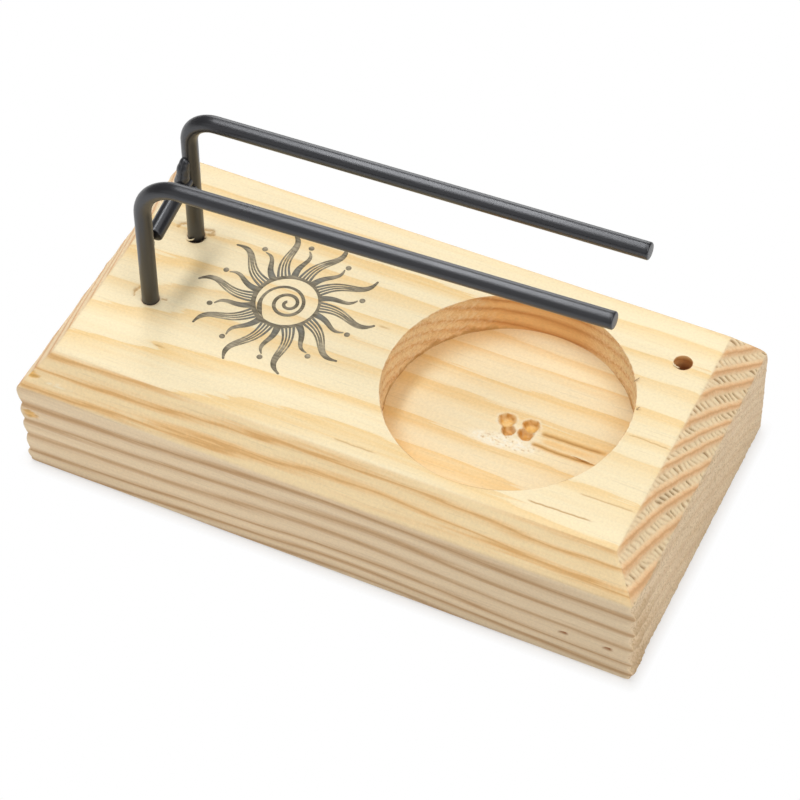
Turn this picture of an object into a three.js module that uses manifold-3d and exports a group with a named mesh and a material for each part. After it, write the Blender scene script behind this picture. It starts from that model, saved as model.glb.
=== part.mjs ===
// A stand for palo santo and incense: one bevelled block of pine with a round recess and a stick hole,
// and a rack of two bent steel rods, tied by a welded crossbar, whose feet stand in two drilled sockets.
// Millimetres, +Z up. The origin is the middle of the underside, and +X runs along the block from the
// rack's end to the recess's end.
import * as THREE from "three";
import { ConvexGeometry } from "three/addons/geometries/ConvexGeometry.js";
import { mergeVertices } from "three/addons/utils/BufferGeometryUtils.js";
import Module from "manifold-3d";

// Pine block
const blockLength = 160;
const blockWidth = 84.2;
const blockHeight = 37.3;
const sideBevelRun = 7.1;
const endBevelRun = 7.4;
const bevelDrop = 9.6;

// Round recess, cut by a flat-bottomed bit, and the pits that its pilot drill left
const recessDiameter = 60;
const recessDepth = 12.1;
const recessFromRightEnd = 48.9;
const recessFromFront = 40;
const pitDiameter = 4.4;
const pitDepth = 2.2;
const secondPitAlong = 5.1;
const secondPitAcross = 0.5;

// Hole for an incense stick
const stickHoleDiameter = 4.6;
const stickHoleDepth = 12;
const stickHoleFromRightEnd = 14.8;
const stickHoleFromBack = 19.5;

// Bent rods
const rodDiameter = 4.2;
const rodEndChamfer = 0.4;
const frontBendRadius = 11.7;
const backBendRadius = 8.3;
const postHeight = 40.7;
const postLean = 1.95;
const postsFromLeftEnd = 20.8;
const frontPostFromFront = 31;
const postSpacing = 23.3;
const frontArmLength = 118.5;
const frontArmRise = 2.9;
const backArmLength = 117.2;
const backArmRise = 2.35;

// Sockets that the feet of the rods stand in
const socketDepth = 20;
const socketClearance = 0.4;
const footClearance = 0.3;

// Crossbar between the posts, and its welds
const crossbarFrontHeight = 17.4;
const crossbarBackHeight = 20.9;
const crossbarBackSetback = 0.9;
const crossbarFrontCut = 4.4;
const crossbarBackCut = 1.2;
const weldGap = 0.3;

// How finely the round shapes are faceted
const recessSides = 96;
const rodSides = 24;
const holeSides = 24;
const bendStations = 12;
const lobeSides = 16;
const lobeRings = 10;

// Drill points are ground to this angle, and cutting tools start this far above the wood.
const drillPointAngle = 118;
const toolOvershoot = 1;

// Half sizes and places that follow from the values above
const halfLength = blockLength / 2;
const halfWidth = blockWidth / 2;
const rodRadius = rodDiameter / 2;
const lean = THREE.MathUtils.degToRad(postLean);
const recessPlace = new THREE.Vector2(halfLength - recessFromRightEnd, recessFromFront - halfWidth);
const postX = postsFromLeftEnd - halfLength;
const frontPostY = frontPostFromFront - halfWidth;
const backPostY = frontPostY + postSpacing;

const wasm = await Module();
wasm.setup();

// A closed three.js geometry as a solid that can be cut and joined.
function solidFrom(geometry) {
  const bare = geometry.index ? geometry.toNonIndexed() : geometry.clone();
  bare.deleteAttribute("normal");
  bare.deleteAttribute("uv");
  const merged = mergeVertices(bare, 1e-4);
  return new wasm.Manifold(
    new wasm.Mesh({
      numProp: 3,
      vertProperties: merged.attributes.position.array,
      triVerts: new Uint32Array(merged.index.array),
    }),
  );
}

// The reverse: a solid as a three.js geometry.
function geometryFrom(solid) {
  const mesh = solid.getMesh();
  const geometry = new THREE.BufferGeometry();
  geometry.setAttribute("position", new THREE.BufferAttribute(mesh.vertProperties, 3));
  geometry.setIndex(new THREE.BufferAttribute(mesh.triVerts, 1));
  geometry.computeVertexNormals();
  return geometry;
}

// A shape turned about the Z axis, from [radius, height] pairs that climb from the axis and back to it.
function turned(profile, sides) {
  const points = profile.map(([radius, height]) => new THREE.Vector2(radius, height));
  return new THREE.LatheGeometry(points, sides).rotateX(Math.PI / 2);
}

// A point on the axis of the post whose foot is at y, at a height above the top of the block.
function onPost(y, height) {
  return new THREE.Vector3(postX + Math.tan(lean) * height, y, blockHeight + height);
}

// Block

// The blank with the four bevels round its top, which are flat cuts, so the blank is a convex shape.
function bevelledBlank() {
  const shoulder = blockHeight - bevelDrop;
  const corners = [];
  for (const sideX of [-1, 1]) {
    for (const sideY of [-1, 1]) {
      corners.push(new THREE.Vector3(sideX * halfLength, sideY * halfWidth, 0));
      corners.push(new THREE.Vector3(sideX * halfLength, sideY * halfWidth, shoulder));
      corners.push(
        new THREE.Vector3(sideX * (halfLength - endBevelRun), sideY * (halfWidth - sideBevelRun), blockHeight),
      );
    }
  }
  return new ConvexGeometry(corners);
}

// The shape that a twist drill removes. Its mouth is at z = 0, and its depth is measured at full width.
function drillCut(diameter, depth) {
  const radius = diameter / 2;
  const pointLength = radius / Math.tan(THREE.MathUtils.degToRad(drillPointAngle / 2));
  const profile = [
    [0, -depth - pointLength],
    [radius, -depth],
    [radius, toolOvershoot],
    [0, toolOvershoot],
  ];
  return turned(profile, holeSides);
}

// The flat-bottomed cut of the recess, its mouth at z = 0.
function recessCut() {
  const length = recessDepth + toolOvershoot;
  const cut = new THREE.CylinderGeometry(recessDiameter / 2, recessDiameter / 2, length, recessSides);
  return cut.rotateX(Math.PI / 2).translate(0, 0, toolOvershoot - length / 2);
}

function socketCut(y) {
  const cut = drillCut(rodDiameter + 2 * socketClearance, socketDepth);
  return cut.rotateY(lean).translate(postX, y, blockHeight);
}

function woodBlock() {
  const recessFloor = blockHeight - recessDepth;
  const cuts = [
    recessCut().translate(recessPlace.x, recessPlace.y, blockHeight),
    drillCut(pitDiameter, pitDepth).translate(recessPlace.x, recessPlace.y, recessFloor),
    drillCut(pitDiameter, pitDepth).translate(
      recessPlace.x + secondPitAlong,
      recessPlace.y + secondPitAcross,
      recessFloor,
    ),
    drillCut(stickHoleDiameter, stickHoleDepth).translate(
      halfLength - stickHoleFromRightEnd,
      halfWidth - stickHoleFromBack,
      blockHeight,
    ),
    socketCut(frontPostY),
    socketCut(backPostY),
  ];
  return cuts.reduce((wood, cut) => wood.subtract(solidFrom(cut)), solidFrom(bevelledBlank()));
}

// Rods

// A straight rod along Z, its foot at z = 0, with rings where it will be bent, then bent towards +X.
// A ring at distance s along the rod keeps its place in the foot, turns in the bend and follows the arm.
function bentRod(radius, bendRadius, footToCorner, cornerToEnd, bendAngle) {
  const lostAtCorner = bendRadius * Math.tan(bendAngle / 2);
  const bendStart = footToCorner - lostAtCorner;
  const bendEnd = bendStart + bendRadius * bendAngle;
  const total = bendEnd + cornerToEnd - lostAtCorner;
  const profile = [
    [0, 0],
    [radius - rodEndChamfer, 0],
    [radius, rodEndChamfer],
  ];
  for (let station = 0; station <= bendStations; station++) {
    profile.push([radius, bendStart + ((bendEnd - bendStart) * station) / bendStations]);
  }
  profile.push([radius, total - rodEndChamfer], [radius - rodEndChamfer, total], [0, total]);

  const rod = turned(profile, rodSides);
  const place = rod.attributes.position;
  for (let i = 0; i < place.count; i++) {
    const inward = place.getX(i);
    const along = place.getZ(i);
    const angle = THREE.MathUtils.clamp((along - bendStart) / bendRadius, 0, bendAngle);
    const beyond = Math.max(along - bendEnd, 0);
    const fromCentre = bendRadius - inward;
    const x = bendRadius - fromCentre * Math.cos(angle) + beyond * Math.sin(angle);
    const z = Math.min(along, bendStart) + fromCentre * Math.sin(angle) + beyond * Math.cos(angle);
    place.setX(i, x);
    place.setZ(i, z);
  }
  return rod;
}

// One L-shaped rod in its socket. A rod that is grown by an allowance cuts room in what is welded to it.
function rackRod(y, bendRadius, armLength, armRise, allowance) {
  const foot = socketDepth - footClearance;
  const cornerFromTop = postHeight / Math.cos(lean);
  const bendAngle = Math.PI / 2 - lean - THREE.MathUtils.degToRad(armRise);
  const rod = bentRod(rodRadius + allowance, bendRadius, foot + cornerFromTop, armLength, bendAngle);
  return rod.translate(0, 0, -foot).rotateY(lean).translate(postX, y, blockHeight);
}

function frontRod(allowance = 0) {
  return rackRod(frontPostY, frontBendRadius, frontArmLength, frontArmRise, allowance);
}

function backRod(allowance = 0) {
  return rackRod(backPostY, backBendRadius, backArmLength, backArmRise, allowance);
}

// Crossbar and welds

const crossbarFront = onPost(frontPostY, crossbarFrontHeight);
const crossbarBack = onPost(backPostY, crossbarBackHeight).add(new THREE.Vector3(-crossbarBackSetback, 0, 0));

// A straight length of the same rod. It stops short of the front post, where weld metal fills the gap,
// and is cut to the back post's round side.
function crossbarRod(allowance = 0) {
  const way = crossbarBack.clone().sub(crossbarFront);
  const length = way.length() - crossbarFrontCut - crossbarBackCut + 2 * allowance;
  const bar = new THREE.CylinderGeometry(rodRadius + allowance, rodRadius + allowance, length, rodSides);
  way.normalize();
  const turn = new THREE.Quaternion().setFromUnitVectors(new THREE.Vector3(0, 1, 0), way);
  const middle = crossbarFront.clone().addScaledVector(way, crossbarFrontCut + length / 2 - allowance);
  return bar.applyQuaternion(turn).translate(middle.x, middle.y, middle.z);
}

const roomForRods = solidFrom(frontRod(weldGap)).add(solidFrom(backRod(weldGap)));

function crossbar() {
  return solidFrom(crossbarRod()).subtract(roomForRods);
}

// A weld bead is a few round lobes of metal run together. Each lobe lies at a turn about the post, in
// degrees from +X, at a lift above the crossbar's end, and with its middle outside the post's surface.
function weldBead(y, endHeight, lobes) {
  let bead = null;
  for (const { turn, lift, outside, radius } of lobes) {
    const middle = onPost(y, endHeight + lift);
    const away = THREE.MathUtils.degToRad(turn);
    const reach = rodRadius + outside;
    const ball = new THREE.SphereGeometry(radius, lobeSides, lobeRings).translate(
      middle.x + reach * Math.cos(away),
      middle.y + reach * Math.sin(away),
      middle.z,
    );
    bead = bead ? bead.add(solidFrom(ball)) : solidFrom(ball);
  }
  return bead.subtract(roomForRods).subtract(solidFrom(crossbarRod(weldGap)));
}

const frontOuterWeld = [
  { turn: 150, lift: 3.0, outside: -0.2, radius: 1.25 },
  { turn: 115, lift: 1.9, outside: 0.9, radius: 1.45 },
];
const frontInnerWeld = [{ turn: 108, lift: -1.2, outside: 1.1, radius: 1.4 }];
const backOuterWeld = [
  { turn: 253, lift: 0.9, outside: 1.0, radius: 2.0 },
  { turn: 264, lift: 3.4, outside: 0.5, radius: 1.95 },
  { turn: 262, lift: 5.4, outside: 0, radius: 1.6 },
];
const backInnerWeld = [{ turn: 290, lift: -2.6, outside: 0.2, radius: 1.5 }];

// Materials and the whole

const pine = new THREE.MeshStandardMaterial({ color: 0xecd19c, roughness: 0.7, metalness: 0 });
const blackPaint = new THREE.MeshStandardMaterial({ color: 0x2e2c30, roughness: 0.45, metalness: 0.2 });
const weldMetal = new THREE.MeshStandardMaterial({ color: 0x2b2d30, roughness: 0.55, metalness: 0.2 });

function addPiece(group, name, geometry, material) {
  const piece = new THREE.Mesh(geometry, material);
  piece.name = name;
  group.add(piece);
}

const stand = new THREE.Group();
addPiece(stand, "wood_block", geometryFrom(woodBlock()), pine);

const rack = new THREE.Group();
addPiece(rack, "front_rod", frontRod(), blackPaint);
addPiece(rack, "back_rod", backRod(), blackPaint);
addPiece(rack, "crossbar", geometryFrom(crossbar()), blackPaint);
const welds = [
  ["front_outer_weld", frontPostY, crossbarFrontHeight, frontOuterWeld],
  ["front_inner_weld", frontPostY, crossbarFrontHeight, frontInnerWeld],
  ["back_outer_weld", backPostY, crossbarBackHeight, backOuterWeld],
  ["back_inner_weld", backPostY, crossbarBackHeight, backInnerWeld],
];
for (const [name, y, height, lobes] of welds) {
  addPiece(rack, name, geometryFrom(weldBead(y, height, lobes)), weldMetal);
}
stand.add(rack);

export default stand;
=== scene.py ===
import bmesh
import bpy
import numpy as np
from mathutils import Matrix, Vector
from mathutils.geometry import delaunay_2d_cdt


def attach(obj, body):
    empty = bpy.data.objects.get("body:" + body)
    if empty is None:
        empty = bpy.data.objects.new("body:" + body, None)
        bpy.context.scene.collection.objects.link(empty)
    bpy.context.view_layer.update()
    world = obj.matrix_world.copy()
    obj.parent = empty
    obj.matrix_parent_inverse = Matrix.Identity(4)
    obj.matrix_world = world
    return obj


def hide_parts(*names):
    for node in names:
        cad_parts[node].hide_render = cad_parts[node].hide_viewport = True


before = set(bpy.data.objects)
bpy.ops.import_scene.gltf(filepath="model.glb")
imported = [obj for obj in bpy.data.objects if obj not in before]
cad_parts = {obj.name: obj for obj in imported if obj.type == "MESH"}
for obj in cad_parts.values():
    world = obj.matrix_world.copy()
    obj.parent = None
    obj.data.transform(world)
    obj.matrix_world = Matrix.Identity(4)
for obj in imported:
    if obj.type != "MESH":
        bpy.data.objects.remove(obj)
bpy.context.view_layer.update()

# A holder for palo santo and incense: a bevelled block of pine, and a black rack of bent rods in it.
# The scene is in metres and its sizes are in millimetres, in the row's frame: +X runs from the rack's
# end of the block to the recess's end, +Y to the back, +Z up, from the middle of the underside.
MM = 0.001
scene = bpy.context.scene


# Camera
# It stands high over the front right corner, as for the photograph, with a long lens.
camera_place = (210.34, -402.79, 549.30)
camera_yaw = -0.478098
camera_pitch = 0.864809
camera_roll = -0.040392
camera_lens = 129.844

forward = Vector((
    np.sin(camera_yaw) * np.cos(camera_pitch),
    np.cos(camera_yaw) * np.cos(camera_pitch),
    -np.sin(camera_pitch),
))
level_right = Vector((np.cos(camera_yaw), -np.sin(camera_yaw), 0))
level_up = level_right.cross(forward)
camera_right = level_right * np.cos(camera_roll) + level_up * np.sin(camera_roll)
camera_up = level_up * np.cos(camera_roll) - level_right * np.sin(camera_roll)

camera = bpy.data.objects.new("camera", bpy.data.cameras.new("camera"))
camera.matrix_world = Matrix.Translation(Vector(camera_place) * MM) @ Matrix(
    (camera_right, camera_up, -forward)
).transposed().to_4x4()
camera.data.lens = camera_lens
camera.data.sensor_width = 36
camera.data.clip_start = 0.05
camera.data.clip_end = 20
scene.collection.objects.link(camera)
scene.camera = camera


# Wood block
# One piece of bare pine, planed on top, sawn and brushed on its sides and ends, with four flat bevels.
# A round recess is bored in it with a flat-bottomed bit, whose pilot left two pits in the floor, and a
# stick hole and two leaning sockets are drilled. Hard latewood stands proud of the softer earlywood.
block_length = 160
block_width = 84.2
block_height = 37.3
side_bevel_run = 7.1
end_bevel_run = 7.4
bevel_drop = 9.6
arris_break = 0.25

recess_place = (31.1, -2.1)
recess_radius = 30
recess_depth = 12.1
stick_hole_place = (65.2, 22.6)
stick_hole_radius = 2.25
stick_hole_depth = 12
post_x = -59.2
front_post_y = -11.1
back_post_y = 12.2
post_lean = np.radians(1.95)
socket_radius = 2.16
socket_depth = 20
drill_point = np.radians(59)
mouth_break = 0.06

half_length = block_length / 2
half_width = block_width / 2
shoulder = block_height - bevel_drop
recess_floor = block_height - recess_depth

# Places on the skin, which the relief and the colour ask for
OUTSIDE, RECESS_WALL, RECESS_FLOOR, DRILLED = range(4)

skin_points = []
skin_places = []
skin_faces = []


def add_points(points, place):
    """Adds points to the skin and gives the number of the first."""
    first = sum(len(part) for part in skin_points)
    skin_points.append(points)
    skin_places.append(np.full(len(points), place))
    return first


def add_grid(grid, place):
    """Adds a grid of points, rows by columns, with a face in each gap."""
    rows, columns = grid.shape[:2]
    first = add_points(grid.reshape(-1, 3), place)
    number = first + np.arange(rows * columns).reshape(rows, columns)
    corners = [number[:-1, :-1], number[:-1, 1:], number[1:, 1:], number[1:, :-1]]
    skin_faces.extend(np.stack(corners, axis=-1).reshape(-1, 4).tolist())


def add_flat(loops, inside, place, facing_up=True):
    """Fills a flat face within its first loop, round the other loops, through some points inside."""
    points = np.concatenate([loop[:-1] for loop in loops] + [inside])
    first = add_points(points, place)
    owner = np.full(len(points), -1)
    edges = []
    start = 0
    for turn, loop in enumerate(loops):
        count = len(loop) - 1
        owner[start:start + count] = turn
        edges.extend((start + k, start + (k + 1) % count) for k in range(count))
        start += count
    flat = [Vector((x, y)) for x, y in points[:, :2]]
    _, _, faces, sources, _, _ = delaunay_2d_cdt(flat, edges, [], 0, 1e-5)
    for face in faces:
        corners = [sources[k][0] for k in face]
        owners = {owner[k] for k in corners}
        if len(owners) == 1 and owners.pop() > 0:
            continue
        if not facing_up:
            corners.reverse()
        skin_faces.append([first + k for k in corners])


def line(start, end, marks):
    """Points at marks from 0 to 1 along a straight line."""
    return (1 - marks)[:, None] * start + marks[:, None] * end


def circle(place, radius, height, sides):
    """A round loop, counter-clockwise from above, that ends on its own first point."""
    angle = 2 * np.pi * np.arange(sides) / sides
    x = place[0] + radius * np.cos(angle)
    y = place[1] + radius * np.sin(angle)
    loop = np.stack([x, y, np.full(sides, height)], axis=1)
    return np.concatenate([loop, loop[:1]])


def edge_marks(length, pitch):
    """Marks from 0 to 1 with a step of about pitch, and two short steps at each end for the arris."""
    near, far = 0.12, 0.4
    steps = round((length - 2 * far) / pitch)
    middle = np.linspace(far, length - far, steps + 1)
    return np.concatenate([[0, near], middle, [length - near, length]]) / length


def corners_at(inset_x, inset_y, height):
    """The block's corners at a height, counter-clockwise from above from the front left."""
    x = half_length - inset_x
    y = half_width - inset_y
    return np.array([(-x, -y, height), (x, -y, height), (x, y, height), (-x, y, height)], float)


# Four sides and four bevels
foot_corners = corners_at(0, 0, 0)
shoulder_corners = corners_at(0, 0, shoulder)
top_corners = corners_at(end_bevel_run, side_bevel_run, block_height)
bevel_length = np.hypot(side_bevel_run, bevel_drop)
side_climb = edge_marks(shoulder, 0.4)
bevel_climb = edge_marks(bevel_length, 0.28)
foot_edges = []
top_edges = []
for side in range(4):
    after = (side + 1) % 4
    if side % 2 == 0:
        marks = edge_marks(block_length, 1.0)
    else:
        marks = edge_marks(block_width, 0.28)
    foot_edge = line(foot_corners[side], foot_corners[after], marks)
    shoulder_edge = line(shoulder_corners[side], shoulder_corners[after], marks)
    top_edge = line(top_corners[side], top_corners[after], marks)
    for lower, upper, climb in [
        (foot_edge, shoulder_edge, side_climb),
        (shoulder_edge, top_edge, bevel_climb),
    ]:
        rise = climb[:, None, None]
        add_grid((1 - rise) * lower + rise * upper, OUTSIDE)
    foot_edges.append(foot_edge)
    top_edges.append(top_edge)


def rectangle_loop(edges):
    """The four edges as one loop."""
    return np.concatenate([edge[:-1] for edge in edges] + [edges[0][:1]])


def rows_of_points(low, high, pitch_x, pitch_y, height):
    """Points in rows and columns between two corners."""
    columns = round((high[0] - low[0]) / pitch_x)
    rows = round((high[1] - low[1]) / pitch_y)
    x, y = np.meshgrid(np.linspace(low[0], high[0], columns + 1), np.linspace(low[1], high[1], rows + 1))
    return np.stack([x.ravel(), y.ravel(), np.full(x.size, height)], axis=1)


def distance_from(place, points):
    """How far each point is from a place, seen from above."""
    return np.hypot(points[:, 0] - place[0], points[:, 1] - place[1])


def away_from(points, place, distance):
    """The points that are further than a distance from a place."""
    return points[distance_from(place, points) > distance]


def add_drilled_hole(place, radius, depth, lean, sides=48):
    """Adds a broken mouth, a wall and a ground point. The hole's axis leans by lean towards +X."""
    slope = np.tan(lean)
    point_depth = radius / np.tan(drill_point)
    wall = np.concatenate([[mouth_break], np.linspace(0.6, depth, 16)])
    deeper = np.concatenate([wall, depth + point_depth * np.array([0.5, 0.95])])
    across = np.concatenate([np.full(len(wall), radius), radius * np.array([0.5, 0.05])])
    loops = [circle(place, radius + mouth_break, block_height, sides)]
    for down, reach in zip(deeper, across):
        loops.append(circle((place[0] - slope * down, place[1]), reach, block_height - down, sides))
    add_grid(np.stack(loops), DRILLED)
    bottom = add_points(loops[-1][:-1], DRILLED)
    skin_faces.append([bottom + k for k in range(sides)])
    return loops[0]


recess_sides = 360
sockets = [(post_x, front_post_y), (post_x, back_post_y)]
recess_mouth = circle(recess_place, recess_radius + mouth_break, block_height, recess_sides)
wall_heights = np.concatenate([
    [block_height - mouth_break],
    np.linspace(block_height - 0.45, recess_floor + 0.35, 32),
    [recess_floor + 0.12, recess_floor],
])
wall_loops = [circle(recess_place, recess_radius, height, recess_sides) for height in wall_heights]
add_grid(np.stack([recess_mouth] + wall_loops), RECESS_WALL)

hole_mouths = [add_drilled_hole(stick_hole_place, stick_hole_radius, stick_hole_depth, 0)]
for socket in sockets:
    hole_mouths.append(add_drilled_hole(socket, socket_radius, socket_depth, post_lean))


def smooth_step(low, high, value):
    """0 up to low and 1 from high on, with a soft step between. Low may also be the greater one."""
    part = np.clip((value - low) / (high - low), 0, 1)
    return part * part * (3 - 2 * part)


def hump(off, reach):
    """1 at the middle, falling softly to nearly 0 at twice the reach."""
    return np.exp(-((off / reach) ** 2))


def wood_noise(points, lump, seed):
    """Smooth noise from -1 to 1 with lumps of about this size in millimetres, the same at each run."""
    cell = points / np.asarray(lump, float)
    whole = np.floor(cell)
    part = cell - whole
    part = part * part * (3 - 2 * part)
    whole = whole.astype(np.int64)
    total = np.zeros(len(points))
    for corner in np.ndindex(2, 2, 2):
        key = whole + corner
        mixed = key[:, 0] * 374761393 + key[:, 1] * 668265263 + key[:, 2] * 951274213 + seed * 1274126177
        mixed = (mixed ^ (mixed >> 13)) * 1103515245
        mixed = mixed ^ (mixed >> 16)
        share = np.prod(np.where(corner, part, 1 - part), axis=1)
        total += share * ((mixed & 0xFFFF) / 32767.5 - 1)
    return total


# Splits along the grain: where each starts and ends in x, its y, its depth and its half width.
# The first two ran out of the pilot pits, and the rest are fine checks in the planed top.
floor_splits = [(39.6, 56.5, -1.5, 0.16, 0.26), (38.6, 55.0, -5.5, 0.14, 0.24)]
top_splits = [
    (48.5, 65.0, -29.9, 0.08, 0.12),
    (58.5, 73.0, -23.4, 0.05, 0.12),
    (62.0, 73.5, -3.1, 0.05, 0.1),
    (0.5, 12.0, -31.9, 0.05, 0.12),
    (-5.4, -1.4, 3.9, 0.05, 0.16),
    (-51.6, -47.6, -23.6, 0.06, 0.16),
]


def split_line(x, y):
    """A split wanders a little across the grain."""
    along = np.stack([x, np.full(len(x), y), np.zeros(len(x))], axis=1)
    return y + 0.22 * wood_noise(along, (5, 1, 1), 11) + 0.08 * wood_noise(along, (1.3, 1, 1), 12)


def points_for_splits(splits, height):
    """Rows of points close enough together to carry the splits."""
    rows = []
    for start, end, y, _, half in splits:
        x = np.arange(start - 1, end + 1, 0.5)
        for offset in (-3.4, -1.8, -0.8, 0, 0.8, 1.8, 3.4):
            rows.append(np.stack([x, split_line(x, y) + offset * half, np.full(len(x), height)], axis=1))
    return np.concatenate(rows)


def clear_of_splits(points, splits):
    """The points that don't crowd the rows of the splits."""
    for start, end, y, _, half in splits:
        far = (points[:, 0] < start - 1.3) | (points[:, 0] > end + 1.3)
        points = points[far | (np.abs(points[:, 1] - y) > 3.4 * half + 0.5)]
    return points


# Planed top
top_low = top_corners[0] + 1.0
top_high = top_corners[2] - 1.0
top_points = clear_of_splits(rows_of_points(top_low, top_high, 1.0, 0.75, block_height), top_splits)
split_points = points_for_splits(top_splits, block_height)
top_points = np.concatenate([top_points, split_points[split_points[:, 0] < top_high[0]]])
for inset in (0.12, 0.45):
    corners = corners_at(end_bevel_run + inset, side_bevel_run + inset, block_height)
    for side in range(4):
        marks = np.linspace(0, 1, 160 if side % 2 == 0 else 150)
        edge = line(corners[side], corners[(side + 1) % 4], marks)
        top_points = np.concatenate([top_points, edge[:-1]])
top_holes = [(recess_place, recess_radius, recess_sides), (stick_hole_place, stick_hole_radius, 60)]
top_holes += [(socket, socket_radius, 60) for socket in sockets]
for place, radius, sides in top_holes:
    top_points = away_from(top_points, place, radius + 0.9)
for place, radius, sides in top_holes:
    for ring in (mouth_break + 0.06, 0.35, 0.75):
        top_points = np.concatenate([top_points, circle(place, radius + ring, block_height, sides)[:-1]])
for socket in sockets:
    top_points = away_from(top_points, socket, 6)
    for reach in np.arange(socket_radius + 0.35, 6.2, 0.35):
        sides = round(2 * np.pi * reach / 0.4)
        top_points = np.concatenate([top_points, circle(socket, reach, block_height, sides)[:-1]])
add_flat([rectangle_loop(top_edges), recess_mouth] + hole_mouths, top_points, OUTSIDE)

# Recess floor, with finer points where the pits and the scratched patch are
floor_low = np.array(recess_place) - recess_radius
floor_high = np.array(recess_place) + recess_radius
floor_points = rows_of_points(floor_low, floor_high, 0.9, 0.7, recess_floor)
patch_low, patch_high = (20.0, -11.5), (46.5, 3.0)
in_patch = np.all((floor_points[:, :2] > patch_low) & (floor_points[:, :2] < patch_high), axis=1)
patch_points = rows_of_points(patch_low, patch_high, 0.3, 0.26, recess_floor)
floor_points = np.concatenate([floor_points[~in_patch], patch_points])
floor_points = clear_of_splits(floor_points, floor_splits)
floor_points = np.concatenate([floor_points, points_for_splits(floor_splits, recess_floor)])
floor_points = floor_points[distance_from(recess_place, floor_points) < recess_radius - 0.7]
for inset in (0.12, 0.4):
    edge = circle(recess_place, recess_radius - inset, recess_floor, recess_sides)
    floor_points = np.concatenate([floor_points, edge[:-1]])
add_flat([wall_loops[-1]], floor_points, RECESS_FLOOR)

# Underside
foot_low = foot_corners[0] + 1.5
foot_high = foot_corners[2] - 1.5
foot_points = rows_of_points(foot_low, foot_high, 2.5, 1.4, 0)
add_flat([rectangle_loop(foot_edges)], foot_points, OUTSIDE, facing_up=False)

# Join what was made side by side
all_points = np.concatenate(skin_points)
_, firsts, numbers = np.unique(np.round(all_points, 6), axis=0, return_index=True, return_inverse=True)
numbers = numbers.ravel()
wood_points = all_points[firsts]
wood_place = np.zeros(len(firsts), int)
np.maximum.at(wood_place, numbers, np.concatenate(skin_places))
wood_faces = [[numbers[k] for k in face] for face in skin_faces]


def rounded_to_arris(points):
    """Moves points of the block's skin onto the same block with its arrises lightly broken."""
    side_normal = np.array([0, bevel_drop, side_bevel_run]) / np.hypot(bevel_drop, side_bevel_run)
    end_normal = np.array([bevel_drop, 0, end_bevel_run]) / np.hypot(bevel_drop, end_bevel_run)
    normals = [(1, 0, 0), (-1, 0, 0), (0, 1, 0), (0, -1, 0), (0, 0, 1), (0, 0, -1)]
    normals += [side_normal * (1, turn, 1) for turn in (1, -1)]
    normals += [end_normal * (turn, 1, 1) for turn in (1, -1)]
    normals = np.array(normals)
    corners = np.concatenate([foot_corners, shoulder_corners, top_corners])
    reach = (corners @ normals.T).max(axis=0)
    sharpness = np.log(2) / arris_break
    on_skin = (points @ normals.T - reach).max(axis=1) > -1e-4
    moved = points[on_skin]
    for _ in range(3):
        weight = np.exp(sharpness * (moved @ normals.T - reach))
        total = weight.sum(axis=1)
        outward = weight @ normals / total[:, None]
        off = np.log(total) / sharpness
        moved = moved - outward * (off / (outward ** 2).sum(axis=1))[:, None]
    points = points.copy()
    points[on_skin] = moved
    return points


def outward_normals(points, faces):
    """The way that each point of a mesh faces."""
    mesh = bpy.data.meshes.new("normals")
    mesh.from_pydata(points.tolist(), [], faces)
    normals = np.empty(len(points) * 3)
    mesh.vertex_normals.foreach_get("vector", normals)
    bpy.data.meshes.remove(mesh)
    return normals.reshape(-1, 3)


# Growth rings. The pith lies below and in front of the block, and a knot near it pushed the rings up
# at the front. A ring's age is a whole number on its dark latewood line.
pith_y, pith_z = -77.4, -157.4
knot_x = 10.5
first_ring_radius = 153
ring_widths = [3.6, 3.8, 3.8, 3.4, 5.9, 5.4, 5.9, 6.6, 4.3, 3.8]
ring_widths += [3.1, 3.6, 2.4, 2.9, 3.8, 3.2, 3.2, 4.4, 3.4, 3.4]
ring_radii = first_ring_radius + np.concatenate([[0], np.cumsum(ring_widths)])
# How dark the wood is across one ring, from just outside a latewood line to the next
ring_profile = [(0, 1), (0.07, 0.8), (0.18, 0.36), (0.3, 0.08), (0.42, 0)]
ring_profile += [(0.58, 0.06), (0.72, 0.32), (0.86, 0.8), (0.95, 0.98), (1, 1)]


def ring_age(points):
    """The year in which the wood at each point grew. The rings wander at the left and in the recess."""
    x, y, z = points.T
    from_knot = x - knot_x
    rise = np.where(from_knot < 0, -5.2 * (1 - hump(from_knot, 56)), -2.75 * (1 - hump(from_knot, 33)))
    near_front = hump(y + half_width, 27) * (1.08 - 0.3 * smooth_step(22, 34, z))
    waver = 0.25 * wood_noise(points, (22, 9, 9), 1) + 0.1 * wood_noise(points, (7, 4, 4), 2)
    radius = np.hypot(y - pith_y, z - pith_z) - 0.95 * (rise + 2.75) * near_front + waver
    at_left = smooth_step(-42, -66, x) * smooth_step(24, 36, z)
    radius += 1.8 * at_left * hump(y + 10, 17)
    in_recess = (distance_from(recess_place, points) < recess_radius + 0.5) * smooth_step(29, 25.4, z)
    radius += in_recess * (0.45 + 0.85 * hump(y + 8, 5))
    return np.interp(radius, ring_radii, np.arange(len(ring_radii)))


age = ring_age(wood_points)
year_part = age % 1
profile_at, profile_dark = zip(*ring_profile)
latewood = np.interp(year_part, profile_at, profile_dark)
ring_height = smooth_step(0.15, 0.9, latewood) - 0.3

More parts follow.
